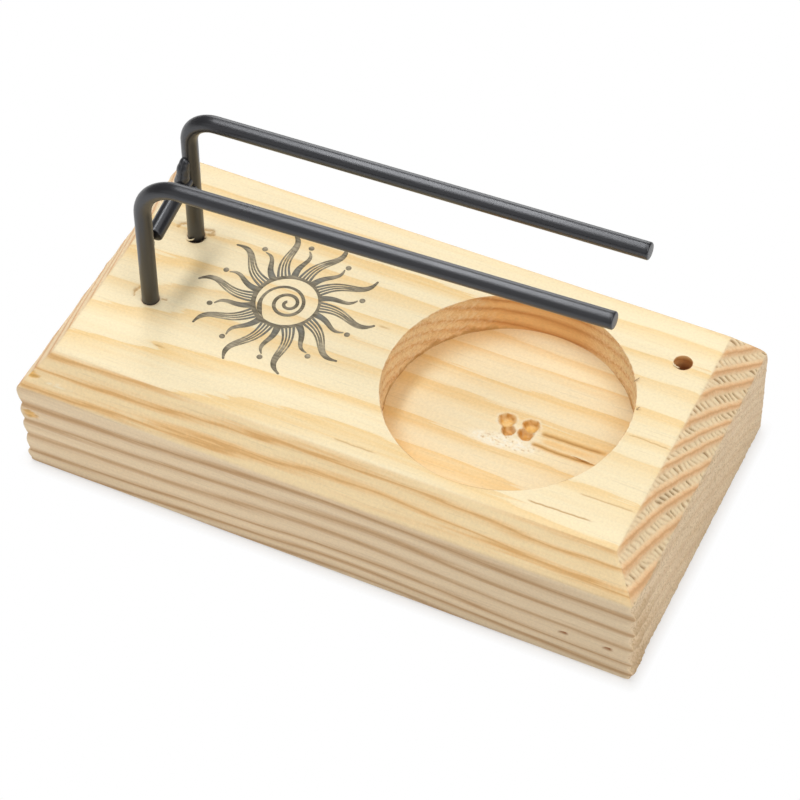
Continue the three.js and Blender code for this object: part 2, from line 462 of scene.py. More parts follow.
# Where each point of the skin lies, how it faces and what it belongs to
rest = wood_points
at_x, at_y, at_z = rest.T
wood_points = rounded_to_arris(wood_points)
facing = outward_normals(wood_points, wood_faces)
face_x, face_y, face_z = facing.T
outside = wood_place == OUTSIDE
on_wall = wood_place == RECESS_WALL
on_floor = wood_place == RECESS_FLOOR
drilled = wood_place == DRILLED
end_grain = smooth_step(0.3, 0.75, np.abs(face_x))
planed = smooth_step(0.7, 0.95, face_z) * (outside | on_floor)
front = outside * smooth_step(0.85, 0.97, -face_y)
right_end = outside * smooth_step(0.85, 0.97, face_x)
left_end = outside * smooth_step(0.85, 0.97, -face_x)
bevels = outside * smooth_step(0.3, 0.45, face_z) * (1 - planed)
on_ends = smooth_step(-0.12, 0.12, np.abs(face_x) - np.abs(face_y))
right_bevel = bevels * on_ends * (face_x > 0)
left_bevel = bevels * on_ends * (face_x < 0)
side_bevel = bevels * (1 - on_ends)
front_bevel = side_bevel * (face_y < 0)


def skin_noise(lump, seed):
    """Noise over the block's skin."""
    return wood_noise(rest, lump, seed)


def colour(red, green, blue):
    return (red, green, blue, 1)


# The kinds of spots on the wood with their colours, and how much of each there is at each point. Some paint
# light and shade: the near-black in the gap at the back post's foot, and the dark in the drilled holes, in
# the small and the pilot pits, between the right bevel's lumps and along the recess wall's foot, are
# painted shade, and the pale on those lumps' tops is partly a painted highlight.
mark_tints = {
    "fluff_and_highlight": colour(0.95, 0.81, 0.56),
    "scratched": colour(0.98, 0.91, 0.74),
    "fresh": colour(0.86, 0.49, 0.13),
    "dark_gaps_and_shade": colour(0.43, 0.27, 0.13),
    "stained": colour(0.52, 0.28, 0.08),
    "painted_pit_shade": colour(0.58, 0.25, 0.04),
    "torn_and_shaded": colour(0.40, 0.15, 0.045),
    "gap_with_painted_shadow": colour(0.06, 0.035, 0.018),
}
spot_marks = {name: np.zeros(len(rest)) for name in mark_tints}


def raise_mark(name, values):
    """Raises a mark to these values wherever they are higher than it is so far."""
    spot_marks[name] = np.maximum(spot_marks[name], values)


# Relief, in millimetres outward. Latewood stands a little proud.
proud = 0.015 + 0.03 * smooth_step(0.5, 0.9, np.abs(face_y)) * outside
proud = proud + 0.03 * left_bevel + 0.3 * right_bevel
proud = proud + 0.08 * on_wall + 0.03 * drilled
relief = proud * ring_height

# Rough ends of the block and the recess, where the saw and the bit tore the fibres
rough = skin_noise(0.8, 21) + 0.6 * skin_noise(2.1, 22)
grit = skin_noise(0.42, 24)
relief += rough * (0.09 * right_end + 0.04 * left_end) + 0.15 * grit * right_end
relief += on_wall * (0.02 * rough + (0.14 * rough + 0.1 * grit) * end_grain)
relief += 0.02 * skin_noise((14, 1.2, 1.2), 23) * outside * (1 - planed)
raise_mark("fluff_and_highlight", on_wall * end_grain * smooth_step(0.1, 0.9, rough + grit) * 0.35)

# On the right bevel the blade left the soft wood of each ring as a rope of slanting lumps, with open slits
# between some of them. The slits and the hollows between the lumps carry painted shade.
usual_ring_radius = 200
lump_pitch = 1.65
lump_slant = 0.7
round_ring = np.arctan2(at_y - pith_y, at_z - pith_z) * usual_ring_radius
out_from_pith = np.hypot(at_y - pith_y, at_z - pith_z)
rope = np.stack([round_ring, out_from_pith, at_x * 0.3], axis=1)
lump_count = (round_ring + lump_slant * out_from_pith) / lump_pitch
lump_count = lump_count + 0.65 * wood_noise(rope, (3.0, 2.6, 9), 31)
soft = smooth_step(0.2, 0.32, year_part) * smooth_step(0.72, 0.6, year_part)
plucked = soft * (right_bevel + 0.15 * left_bevel)
lumps = np.sin(np.pi * (lump_count % 1)) ** 0.7 - 0.6
nearest_slit = np.round(lump_count)
slit_here = np.stack([nearest_slit, np.floor(age) * 3.3, 0 * age], axis=1)
opened = smooth_step(-0.6, 0.45, wood_noise(slit_here, 1, 33))
across_slit = smooth_step(0.3, 0.08, np.abs(lump_count - nearest_slit))
slits = plucked * opened * across_slit * smooth_step(-0.75, 0.05, wood_noise(rope, (6, 4, 20), 34))
relief += 0.22 * lumps * plucked + 0.07 * rough * plucked - 0.35 * slits
raise_mark("dark_gaps_and_shade", slits)
raise_mark("dark_gaps_and_shade", (0.35 + 0.35 * opened) * smooth_step(0.1, -0.5, lumps) * plucked)
# The lumps' tops are pale with fluffed fibre and a painted highlight
raise_mark("fluff_and_highlight", 0.35 * smooth_step(0, 0.4, lumps) * plucked * (1 - slits))

# The drilled holes are painted darker further down, as shade, over the reddish brown of torn wood
raise_mark("torn_and_shaded", 0.8 * drilled * smooth_step(block_height - 1.2, block_height - 4.5, at_z))

# Splits
for splits, here in [(floor_splits, on_floor), (top_splits, outside & (face_z > 0.9))]:
    for start, end, y, depth, half in splits:
        off = np.abs(at_y - split_line(at_x, y))
        along = smooth_step(start - 0.3, start + 1.0, at_x) * smooth_step(end, end - 2.5, at_x)
        relief -= here * depth * along * hump(off, half)
        raise_mark("stained", here * along * min(1, 11 * depth) * hump(off, 1.7 * half))

# Pilot pits, each of two ragged bowls that are fresh inside, painted with shade deep down and on the far
# wall, and pale at the rim. Each bowl has a place, a radius and a depth.
pit_bowls = [
    (30.7, -1.3, 2.1, 1.0),
    (32.1, -3.9, 1.7, 1.6),
    (36.6, -0.7, 2.0, 1.1),
    (36.4, -3.4, 1.9, 1.8),
]
pale_rims = np.zeros(len(rest))
crumb = skin_noise((0.7, 0.6, 1), 45)
chips = 0.65 + 0.35 * smooth_step(-0.3, 0.4, skin_noise((0.6, 0.5, 1), 46))
for x, y, radius, depth in pit_bowls:
    angle = np.arctan2(at_y - y, at_x - x)
    ragged = radius * (1 + 0.05 * np.sin(3 * angle + x) + 0.03 * np.sin(7 * angle))
    from_pit = np.hypot(at_x - x, at_y - y) / ragged
    bowl = on_floor * smooth_step(1.06, 0.55, from_pit)
    relief = np.minimum(relief, np.where(bowl > 0.02, -depth * bowl, relief))
    raise_mark("fresh", bowl * chips)
    # Painted shade on the bowl's far wall, and through the whole of the deeper bowls
    edge = on_floor * smooth_step(0.45, 0.75, from_pit) * smooth_step(1.2, 0.98, from_pit)
    edge = edge * (0.35 + 0.65 * smooth_step(-0.2, 0.7, np.cos(angle - 2.2)))
    edge = np.maximum(edge, 0.8 * (depth > 1.5) * bowl)
    raise_mark("painted_pit_shade", edge * (0.5 + 0.5 * smooth_step(-0.4, 0.5, crumb)))
    rim = on_floor * smooth_step(1.02, 1.12, from_pit) * smooth_step(1.5, 1.2, from_pit)
    pale_rims = np.maximum(pale_rims, (0.25 + 0.25 * crumb) * rim)

# The scratched patch in front of the pits
patch_x, patch_y = 32.5, -7.6
patch_off = np.hypot((at_x - patch_x) / 10.5, (at_y - patch_y - 0.08 * (at_x - patch_x)) / 2.6)
patch = on_floor * smooth_step(1.1, 0.5, patch_off)
fluff = skin_noise((0.5, 0.34, 1), 41) + 0.7 * skin_noise((1.3, 0.6, 1), 42)
relief += 0.14 * patch * fluff
raise_mark("scratched", patch * (0.35 + 0.65 * smooth_step(-0.4, 0.5, fluff)))
raise_mark("scratched", pale_rims * (1 - spot_marks["fresh"]))
raise_mark("stained", 0.6 * patch * smooth_step(-0.55, -0.95, fluff))

# Fresh yellow wood between and beside the two splits of the floor, and along the floor's left edge
sliver = on_floor * smooth_step(39.5, 42, at_x) * smooth_step(58, 50, at_x)
sliver_off = at_y + 3.6 - 0.3 * skin_noise((4, 1, 1), 44)
raise_mark("fresh", 0.6 * sliver * hump(sliver_off, 0.9))
floor_edge = on_floor * smooth_step(22, 29.5, distance_from(recess_place, rest))
raise_mark("fresh", 0.45 * floor_edge * smooth_step(0, -20, at_x - recess_place[0]))
for start, end, y, _, half in floor_splits:
    off = np.abs(at_y - split_line(at_x, y))
    along = smooth_step(start - 0.3, start + 1.0, at_x) * smooth_step(end + 1, end - 1, at_x)
    raise_mark("fresh", 0.8 * on_floor * along * hump(off, 3.2 * half))

# A ragged dark band along the foot of the recess's wall on the left and the right: frayed fibres, with
# painted shade in the crease where the wall meets the floor
toward_end = (at_x - recess_place[0]) / recess_radius
frayed_and_shaded_foot = on_wall * np.maximum(smooth_step(-0.25, -0.6, toward_end), smooth_step(0.5, 0.85, toward_end))
fray_height = at_z - recess_floor + 1.1 * skin_noise((1.3, 1.3, 1), 43)
frayed_and_shaded_foot = frayed_and_shaded_foot * smooth_step(1.7, 0.5, fray_height)
raise_mark("stained", 0.7 * frayed_and_shaded_foot)

# Where the drill tore the planed top beside the sockets: strokes from one place to another, with how wide
# and how deep each is
socket_tears = [
    ((-64.6, 12.9), (-64.5, 14.1), 0.4, 0.12),
    ((-64.5, 14.1), (-63.2, 14.8), 0.4, 0.18),
    ((-58.0, 14.7), (-56.2, 15.3), 0.5, 0.2),
    ((-56.6, 13.6), (-55.3, 13.9), 0.5, 0.2),
    ((-56.0, 14.0), (-55.7, 15.2), 0.35, 0.12),
    ((-64.1, -10.2), (-63.3, -8.6), 0.45, 0.25),
    ((-64.1, -10.2), (-63.4, -11.7), 0.25, 0.15),
    ((-56.6, -10.0), (-55.6, -9.8), 0.35, 0.15),
]
# The open gap at the front of the back post's foot, sunk a little and painted near-black as the shadow
# between the rod and the wood: strokes, with how wide each is
foot_gap_depth = 0.45
foot_gap = [
    ((-60.0, 10.0), (-58.3, 9.9), 0.24),
    ((-58.3, 9.9), (-57.1, 10.95), 0.24),
    ((-57.1, 10.95), (-56.85, 12.2), 0.16),
]


def off_stroke(start, end):
    """How far each point is from a straight stroke on the top."""
    start, end = np.array(start), np.array(end)
    share = np.clip((rest[:, :2] - start) @ (end - start) / ((end - start) @ (end - start)), 0, 1)
    return np.linalg.norm(rest[:, :2] - start - share[:, None] * (end - start), axis=1)


on_top = outside * (at_z > block_height - 0.01)
for start, end, half, depth in socket_tears:
    tear_off = off_stroke(start, end) / half + 0.4 * skin_noise((0.7, 0.5, 1), 51)
    tear = on_top * smooth_step(1.4, 0.3, tear_off)
    relief -= depth * tear
    raise_mark("stained", 0.75 * tear)
near_mouth = (at_z > block_height - 0.1) & (outside | drilled)
for start, end, half in foot_gap:
    raise_mark("gap_with_painted_shadow", near_mouth * smooth_step(1.5, 0.9, off_stroke(start, end) / half))

# Two small pits at the right of the front, and torn spots at the left of the front and of its bevel. Each
# kind has a depth, how much painted shade darkens its hollow, and how fresh, stained and scratched it
# looks.
SMALL_PIT = (0.35, 1, 0, 0, 0)
TORN_SPOT = (0.12, 0, 0.9, 0.6, 0.8)
WHISKERS = (-0.1, 0, 0, 0, 0.6)
spots = [
    (63.2, 9.5, 0.8, 0.55, front, SMALL_PIT),
    (74.2, 9.6, 0.9, 0.5, front, SMALL_PIT),
    (-77.2, 18.8, 1.7, 1.3, front, TORN_SPOT),
    (-76.9, 31.2, 1.9, 0.7, front_bevel, TORN_SPOT),
    (-69.5, 30.7, 4.5, 0.5, front_bevel, WHISKERS),
]
fray = 0.45 * skin_noise((0.9, 0.9, 0.5), 52) + 0.3 * skin_noise((0.4, 0.4, 0.3), 53)
for x, z, wide, high, face, (depth, hollow_shade, fresh_share, dark_share, pale_share) in spots:
    spot = ((at_x - x) / wide) ** 2 + ((at_z - z) / high) ** 2
    spot = face * smooth_step(1.6, 0.5, spot + (1 - hollow_shade) * fray)
    relief -= depth * spot
    raise_mark("torn_and_shaded", hollow_shade * spot)
    raise_mark("fresh", fresh_share * spot)
    raise_mark("stained", dark_share * spot * smooth_step(0.1, -0.3, fray))
    raise_mark("scratched", pale_share * spot * smooth_step(0.1, 0.4, fray))

# The wire brush left the soft wood of the left end as rolls, with a groove at each dark line, and at the
# front right corner it left the hard rings standing out as steps
roll_height = 0.95
step_height = 1.2
roll = np.sin(np.pi * np.clip((year_part - 0.03) / 0.97, 0, 1)) ** 0.7
rolled = outside * smooth_step(-half_length + 2.2, -half_length + 0.2, at_x)
rolled = rolled * smooth_step(shoulder + 0.6, shoulder - 0.6, at_z) * smooth_step(0, 1.5, at_z)
toward_front = smooth_step(-22, -40, at_y)
stepped = outside * smooth_step(half_length - 2, half_length - 0.3, at_x) * toward_front
stepped = stepped * smooth_step(shoulder + 0.4, shoulder - 0.4, at_z) * smooth_step(0, 2, at_z)
wood_points = wood_points + facing * relief[:, None]
wood_points[:, 2] -= foot_gap_depth * spot_marks["gap_with_painted_shadow"]
wood_points[:, 0] += stepped * (step_height * latewood - 0.5 + 0.2 * skin_noise(2, 27))
raise_mark("dark_gaps_and_shade", 0.5 * right_end * latewood * toward_front)
wood_points[:, 0] += roll_height * rolled * (0.6 - roll + 0.25 * skin_noise(3, 26))


def new_piece(name, points, faces, material, body):
    """A closed mesh in the row's frame that moves with a body. Its points are in millimetres."""
    mesh = bpy.data.meshes.new(name)
    mesh.from_pydata((np.asarray(points) * MM).tolist(), [], faces)
    mesh.shade_smooth()
    mesh.materials.append(material)
    piece = bpy.data.objects.new(name, mesh)
    scene.collection.objects.link(piece)
    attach(piece, body)
    return piece


class Finish:
    """A material under way: it adds nodes and joins them."""

    def __init__(self, name):
        self.material = bpy.data.materials.new(name)
        self.material.use_nodes = True
        self.tree = self.material.node_tree
        self.shader = self.tree.nodes["Principled BSDF"]

    def node(self, kind, settings=None, **inputs):
        """Adds a node, sets it up, and joins or sets its inputs by name, or by number as in_0."""
        made = self.tree.nodes.new(kind)
        for key, value in (settings or {}).items():
            setattr(made, key, value)
        for key, value in inputs.items():
            socket = made.inputs[int(key[3:])] if key.startswith("in_") else made.inputs[key]
            self.feed(socket, value)
        return made

    def feed(self, socket, value):
        if isinstance(value, bpy.types.Node):
            value = value.outputs[0]
        if isinstance(value, bpy.types.NodeSocket):
            self.tree.links.new(value, socket)
        else:
            socket.default_value = value

    def math(self, operation, first, second=0.5, third=0.5):
        return self.node("ShaderNodeMath", {"operation": operation}, in_0=first, in_1=second, in_2=third)

    def between(self, value, low, high, new_low, new_high):
        """Carries a value from one span to another and stops it at the ends."""
        return self.node(
            "ShaderNodeMapRange",
            {"clamp": True},
            in_0=value, in_1=low, in_2=high, in_3=new_low, in_4=new_high,
        )

    def mix(self, share, first, second, blend="MIX"):
        """Mixes two colours."""
        made = self.tree.nodes.new("ShaderNodeMix")
        made.data_type = "RGBA"
        made.blend_type = blend
        self.feed(made.inputs[0], share)
        self.feed(made.inputs[6], first)
        self.feed(made.inputs[7], second)
        return made.outputs[2]

    def ramp(self, value, stops):
        """A ramp of greys from (place, level) pairs."""
        made = self.node("ShaderNodeValToRGB", in_0=value)
        elements = made.color_ramp.elements
        while len(elements) < len(stops):
            elements.new(0.5)
        for element, (place, level) in zip(elements, stops):
            element.position = place
            element.color = (level, level, level, 1)
        return made

    def noise(self, stretch, scale, detail=2.0, roughness=0.5):
        """Noise in the object's own coordinates, in lumps per metre, stretched along each axis."""
        place = self.node("ShaderNodeTexCoord").outputs["Object"]
        place = self.node("ShaderNodeMapping", in_0=place, Scale=stretch)
        made = self.node(
            "ShaderNodeTexNoise", Vector=place, Scale=scale, Detail=detail, Roughness=roughness,
        )
        return made.outputs[0]

    def mark(self, name):
        """A value that the mesh carries at each point."""
        return self.node("ShaderNodeAttribute", {"attribute_name": name}).outputs["Fac"]

    def surface(self, base, roughness, specular):
        """Joins or sets the colour, the roughness and the strength of the highlights."""
        self.feed(self.shader.inputs["Base Color"], base)
        self.feed(self.shader.inputs["Roughness"], roughness)
        self.feed(self.shader.inputs["Specular IOR Level"], specular)

    def bump(self, strength, depth, height):
        """Roughens the surface by a height, which stands for a depth in metres."""
        made = self.node("ShaderNodeBump", Strength=strength, Distance=depth, Height=height)
        self.feed(self.shader.inputs["Normal"], made)


pine = Finish("pine")
fibre = pine.noise((0.02, 1, 1), 1500, 3, 0.6)
feather = pine.noise((0.045, 1, 1), 330, 3, 0.6)
flame = pine.noise((0.07, 1, 1), 380, 3, 0.6)
streak = pine.noise((0.03, 1, 1), 800, 3, 0.65)
needle = pine.noise((0.03, 1, 1), 2200, 2, 0.5)
pore = pine.noise((1, 1, 1), 1500, 3, 0.7)
swirl = pine.noise((1, 0.5, 1), 420, 3, 0.6)
broad = pine.noise((0.12, 1, 1), 60, 2, 0.5)
speckle = pine.noise((1, 1, 1), 1500, 2, 0.6)

# The rings, feathered along the grain, with a thin dark line where each year ends
across_grain = pine.math("ADD", pine.mark("end_grain"), pine.mark("end_bevel"))
across_grain = pine.math("ADD", across_grain, pine.math("MULTIPLY", pine.mark("bored"), 0.7))
along_grain = pine.between(across_grain, 0, 1, 1, 0.3)
feathering = pine.math("MULTIPLY", pine.between(feather, 0.25, 0.75, -0.16, 0.16), along_grain)
feathering = pine.math("ADD", feathering, pine.between(fibre, 0.2, 0.8, -0.05, 0.05))
flames = pine.math("MULTIPLY", pine.between(flame, 0.25, 0.75, -0.24, 0.24), pine.mark("side_bevel"))
feathering = pine.math("ADD", feathering, flames)
years = pine.math("ADD", pine.mark("ring_age"), feathering)
this_year = pine.node(
    "ShaderNodeTexWhiteNoise", {"noise_dimensions": "1D"}, W=pine.math("FLOOR", years),
).outputs[0]
year_part_now = pine.math("FRACT", years)
darkness = pine.ramp(year_part_now, ring_profile)
darkness = pine.math("MULTIPLY", darkness.outputs[0], pine.between(this_year, 0, 1, 0.7, 1))
darkness = pine.math("ADD", darkness, pine.between(streak, 0.25, 0.75, -0.16, 0.16))
darkness = pine.math("ADD", darkness, pine.math("MULTIPLY", pine.mark("end_bevel"), 0.15))
darkness = pine.node("ShaderNodeClamp", in_0=darkness)
year_end = pine.ramp(year_part_now, [(0, 0.8), (0.03, 0.2), (0.06, 0), (0.86, 0), (0.95, 1), (1, 0.9)])

# On the planed faces a ring is cut at a low angle, so it shows as a broad band that darkens slowly
planed_profile = [(0, 0.35), (0.05, 0.1), (0.12, 0), (0.42, 0.05)]
planed_profile += [(0.6, 0.28), (0.8, 0.74), (0.93, 1), (1, 0.85)]
broad_band = pine.ramp(year_part_now, planed_profile)
broad_band = pine.math("MULTIPLY", broad_band.outputs[0], pine.between(this_year, 0, 1, 0.65, 1))
broad_band = pine.math("ADD", broad_band, pine.between(streak, 0.25, 0.75, -0.14, 0.14))
broad_band = pine.math("MULTIPLY", broad_band, pine.between(pine.mark("faint_rings"), 0, 1, 1, 0.45))
broad_band = pine.node("ShaderNodeClamp", in_0=broad_band)


def ringed(early, late, line, line_share, band=darkness):
    """The wood of one face: its earlywood, its latewood, and the line where a year ends."""
    dark_line = pine.math("MULTIPLY", year_end.outputs[0], line_share)
    return pine.mix(dark_line, pine.mix(band, colour(*early), colour(*late)), colour(*line))


# The earlywood, the latewood and the lines of the sawn sides, and then of the other kinds of faces
wood = ringed((0.90, 0.71, 0.47), (0.62, 0.385, 0.19), (0.50, 0.28, 0.12), 0.4)
face_tones = {
    "planed": ((0.93, 0.79, 0.52), (0.89, 0.625, 0.28), (0.84, 0.54, 0.20), 0.1, broad_band),
    "side_bevel": ((0.93, 0.725, 0.425), (0.82, 0.49, 0.195), (0.64, 0.34, 0.11), 0.5),
    "end_grain": ((0.86, 0.67, 0.44), (0.79, 0.57, 0.34), (0.70, 0.47, 0.26), 0.25),
    "end_bevel": ((0.93, 0.74, 0.46), (0.80, 0.47, 0.23), (0.58, 0.31, 0.13), 0.5),
    "bored": ((0.87, 0.53, 0.225), (0.65, 0.30, 0.095), (0.55, 0.24, 0.07), 0.4),
    "bored_end": ((0.96, 0.72, 0.41), (0.86, 0.53, 0.25), (0.70, 0.38, 0.14), 0.4),
}
for mark_name, tones in face_tones.items():
    wood = pine.mix(pine.mark(mark_name), wood, ringed(*tones))

# Cut and torn pores speckle the end grain: where, by which noise, from which level to which, how much
# at most, and in which colour
speckles = [
    ("end_grain", pore, 0.46, 0.64, 0.9, colour(0.54, 0.38, 0.21)),
    ("end_grain", pore, 0.46, 0.36, 0.5, colour(0.93, 0.76, 0.54)),
    ("end_grain", swirl, 0.45, 0.75, 0.5, colour(0.74, 0.52, 0.33)),
    ("bored_end", pore, 0.5, 0.62, 0.6, colour(0.98, 0.83, 0.58)),
    ("bored_end", pore, 0.46, 0.36, 0.4, colour(0.62, 0.34, 0.14)),
]
for mark_name, source, low, high, most, tint in speckles:
    speckled = pine.math("MULTIPLY", pine.mark(mark_name), pine.between(source, low, high, 0, most))
    wood = pine.mix(speckled, wood, tint)
for mark_name, tint in mark_tints.items():
    wood = pine.mix(pine.mark(mark_name), wood, tint)
tone = pine.between(broad, 0.3, 0.7, 0.96, 1.04)
tone = pine.math("MULTIPLY", tone, pine.between(speckle, 0.2, 0.8, 0.93, 1.06))
tone = pine.math("MULTIPLY", tone, pine.between(needle, 0.62, 0.70, 1, 0.93))
tone = pine.math("MULTIPLY", tone, pine.between(pine.mark("darkened"), 0, 1, 1, 0.7))
wood = pine.mix(1.0, wood, tone.outputs[0], "MULTIPLY")
pine.surface(wood, pine.between(fibre, 0.2, 0.8, 0.52, 0.72), 0.35)
grain_height = pine.math("ADD", pine.math("MULTIPLY", fibre, 0.7), pine.math("MULTIPLY", speckle, 0.5))
pine.bump(0.35, 0.00012, grain_height)

wood_block = new_piece("wood_block_brushed", wood_points, wood_faces, pine.material, "block")
left_of_wall = 0.8 * smooth_step(0.45, 0.95, face_x)
right_of_wall = smooth_step(-0.15, -0.6, face_x)
# The front, and a little the side bevels, is darker towards the right, and the front's foot carries painted
# shade where it meets the table
darkened = smooth_step(-50, 80, at_x) * (0.45 * front + 0.15 * side_bevel)
wood_marks = {
    "ring_age": age,
    "planed": planed,
    "side_bevel": side_bevel,
    "end_grain": end_grain * outside * (1 - right_bevel - left_bevel),
    "end_bevel": right_bevel + left_bevel,
    "bored": (on_wall | drilled) * smooth_step(0.75, 0.3, np.abs(face_z)),
    "bored_end": on_wall * np.where(face_x < 0, right_of_wall, left_of_wall),
    "faint_rings": 0.35 * smooth_step(15, 55, at_x) * planed * outside,
    "darkened": darkened + 0.2 * smooth_step(6, 0, at_z) * front,
    **spot_marks,
}


def set_marks(piece, marks):
    """Gives each of the piece's points the values that its material reads."""
    for name, values in marks.items():
        attribute = piece.data.attributes.new(name, "FLOAT", "POINT")
        attribute.data.foreach_set("value", np.clip(values, 0, None).astype(np.float32))


set_marks(wood_block, wood_marks)
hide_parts("wood_block")


# Splinters
# Slivers of the same pine that the drills and the bit left standing: one curled up at the back post's
# foot, one at the stick hole, two whiskers on the recess's rim and one at a floor split. Each grows out
# of the wood. Each has a path, a thickness and how dark it is.
splinter_sides = 8
splinter_paths = [
    (
        [
            (-61.1, 10.3, 37.2),
            (-60.4, 9.8, 37.5),
            (-59.6, 9.6, 37.8),
            (-58.9, 9.6, 38.2),
            (-58.3, 9.7, 38.7),
        ],
        0.26,
        0,
    ),
    ([(63.1, 22.0, 37.1), (63.4, 21.1, 37.4), (64.2, 20.75, 37.4), (65.0, 21.1, 36.9)], 0.26, 0.3),
    ([(56.9, 12.7, 37.0), (57.2, 12.9, 37.5), (57.6, 13.2, 37.8), (57.8, 13.6, 38.0)], 0.22, 1),
    ([(60.4, 4.8, 37.0), (60.8, 4.8, 37.4), (61.1, 5.1, 37.8), (61.5, 5.1, 38.0)], 0.22, 1),
    ([(48.0, -4.9, 25.0), (50.5, -5.0, 25.5), (53.0, -5.3, 25.7), (55.6, -5.3, 25.3)], 0.25, 0),
]
splinter_shades = []
splinter_points = []
splinter_faces = []


def unit_rows(rows):
    """Each row brought to a length of 1."""
    return rows / np.linalg.norm(rows, axis=1)[:, None]


for path, thickness, shade in splinter_paths:
    path = np.array(path)
    share = np.linspace(0, 1, 25)
    knots = np.linspace(0, 1, len(path))
    bend = np.array([np.polynomial.polynomial.polyfit(knots, path[:, k], 3) for k in range(3)])
    middle = np.stack([np.polynomial.polynomial.polyval(share, bend[k]) for k in range(3)], axis=1)
    way = unit_rows(np.gradient(middle, axis=0))
    side = unit_rows(np.cross(way, (0, 0, 1)))
    over = np.cross(side, way)
    reach = thickness * (0.12 + 0.88 * np.sin(np.pi * np.clip(share, 0.02, 0.98)) ** 0.6)
    reach = reach * (1 + 0.2 * np.sin(17 * share))
    first = len(splinter_points)
    for centre, half, across, up in zip(middle, reach, side, over):
        for turn in 2 * np.pi * np.arange(splinter_sides) / splinter_sides:
            splinter_points.append(centre + half * (np.cos(turn) * across + 0.55 * np.sin(turn) * up))
    for ring in range(len(share) - 1):
        for k in range(splinter_sides):
            here = first + ring * splinter_sides + k
            beside = first + ring * splinter_sides + (k + 1) % splinter_sides
            splinter_faces.append([here, here + splinter_sides, beside + splinter_sides, beside])
    splinter_faces.append([first + k for k in range(splinter_sides)])
    last = first + (len(share) - 1) * splinter_sides
    splinter_faces.append([last + splinter_sides - 1 - k for k in range(splinter_sides)])
    splinter_shades += [shade] * splinter_sides * len(share)
splinters = new_piece("splinters", splinter_points, splinter_faces, pine.material, "block")
shades = np.array(splinter_shades)
set_marks(splinters, {"ring_age": 0 * shades + 0.4, "planed": 0 * shades + 1, "dark_gaps_and_shade": 0.75 * shades})


# Sun print
# A sun stamped on the planed top in slate-green ink: a disc with a spiral, ten long wavy rays drawn as
# bundles of strokes, and ten short ones with a dot past each tip. The ink is a film on the wood.
sun_place = np.array([-28.9, 1.4])
sun_ring_outer = 8.5
sun_ring_inner = 7.55
long_ray_reach = 22.8
long_ray_turn = 3.6
short_ray_reach = 17.2
dot_reach = 18.4
dot_radius = 0.72
rays = 10
ink_top = block_height + 0.05
ink_bottom = block_height - 0.08


def around_sun(reach, degrees):
    """Places at a distance from the sun's middle and an angle round it."""
    angle = np.radians(degrees)
    return sun_place + np.stack([reach * np.cos(angle), reach * np.sin(angle)], axis=-1)


def way_and_side(spine):
    """The way that a line on the wood runs at each of its points, and the way to its left."""
    way = unit_rows(np.gradient(spine, axis=0))
    return way, np.stack([-way[:, 1], way[:, 0]], axis=1)


def wave(share):
    """How far a ray swings round the sun, in degrees, from its root at 0 to its tip at 1."""
    return 2.8 + 6.0 * np.cos(np.pi * share ** 1.3 / 0.72)


def ray_outline(root, tip, middle_turn, swing, width_at, slits):
    """A wavy ray with slits that run up from its root between the strokes."""
    share = np.linspace(0, 1, 40)
    reach = root + (tip - root) * share
    spine = around_sun(reach, middle_turn + swing(share))
    way, sideways = way_and_side(spine)
    half = width_at(share)[:, None] / 2
    left = spine + sideways * half
    right = spine - sideways * half
    round_end = np.radians(np.linspace(60, -60, 5))[:, None]
    end = spine[-1] + half[-1] * (np.cos(round_end) * way[-1] + np.sin(round_end) * sideways[-1])
    outline = [left, end, right[::-1]]
    for part, stop in slits:
        inside = share <= stop
        gap = 0.17 * (1 - (share[inside] / stop) ** 3)[:, None]
        middle = (spine + sideways * half * part)[inside]
        outline.append(middle - sideways[inside] * gap)
        outline.append((middle + sideways[inside] * gap)[::-1][1:])
    return np.concatenate(outline)


# The ring's outer and inner edge, and the spiral that winds inward from the ring
outlines = []
circle_marks = np.linspace(0, 360, 96, endpoint=False)
outlines.append(around_sun(sun_ring_outer, circle_marks))
outlines.append(around_sun(sun_ring_inner, circle_marks) + (0.2, 0.1))
wind = np.linspace(0, 1, 150)
wind_turn = 250 - 830 * wind
wind_reach = 7.42 - 6.72 * wind ** 0.72 - hump(wind - 0.25, 0.1)
wind_middle = around_sun(wind_reach, wind_turn) + (0.85 * wind ** 0.3)[:, None] * (1.0, -0.35)
_, wind_side = way_and_side(wind_middle)
wind_half = 0.05 + 0.3 * smooth_step(0, 0.04, wind) + 0.12 * smooth_step(0.05, 0.35, wind) - 0.06 * wind
wind_half = wind_half + 0.3 * smooth_step(0, 0.035, wind) * hump(wind - 0.035, 0.03)
off_middle = wind_side * wind_half[:, None]
outlines.append(np.concatenate([wind_middle + off_middle, (wind_middle - off_middle)[::-1]]))

# The rays and the dots
ray_root = 8.1
for ray in range(rays):
    turn = long_ray_turn + 360 / rays * ray
    outlines.append(ray_outline(
        ray_root, long_ray_reach, turn, wave,
        lambda share: (3.5 * (1 - share) ** 1.15 + 1.05 * share) * (1 - 0.45 * smooth_step(0.84, 1, share)),
        [(-0.52, 0.62), (0.0, 0.5), (0.52, 0.66)],
    ))
    outlines.append(ray_outline(
        ray_root, short_ray_reach, turn + 19.5, lambda share: 0.7 * wave(share) + 1.5,
        lambda share: 1.3 * (1 - share) ** 0.8 + 0.55 - 0.2 * smooth_step(0.8, 1, share),
        [],
    ))
    dot = around_sun(dot_reach, turn + 21.6)
    dot_marks = np.radians(np.linspace(0, 360, 20, endpoint=False))
    outlines.append(dot + dot_radius * np.stack([np.cos(dot_marks), np.sin(dot_marks)], axis=1))


def counter_clockwise(outline):
    """The outline in the direction that the flat fill reads as its inside."""
    x, y = outline.T
    twice_area = np.sum(x * np.roll(y, -1) - y * np.roll(x, -1))
    return outline if twice_area > 0 else outline[::-1]


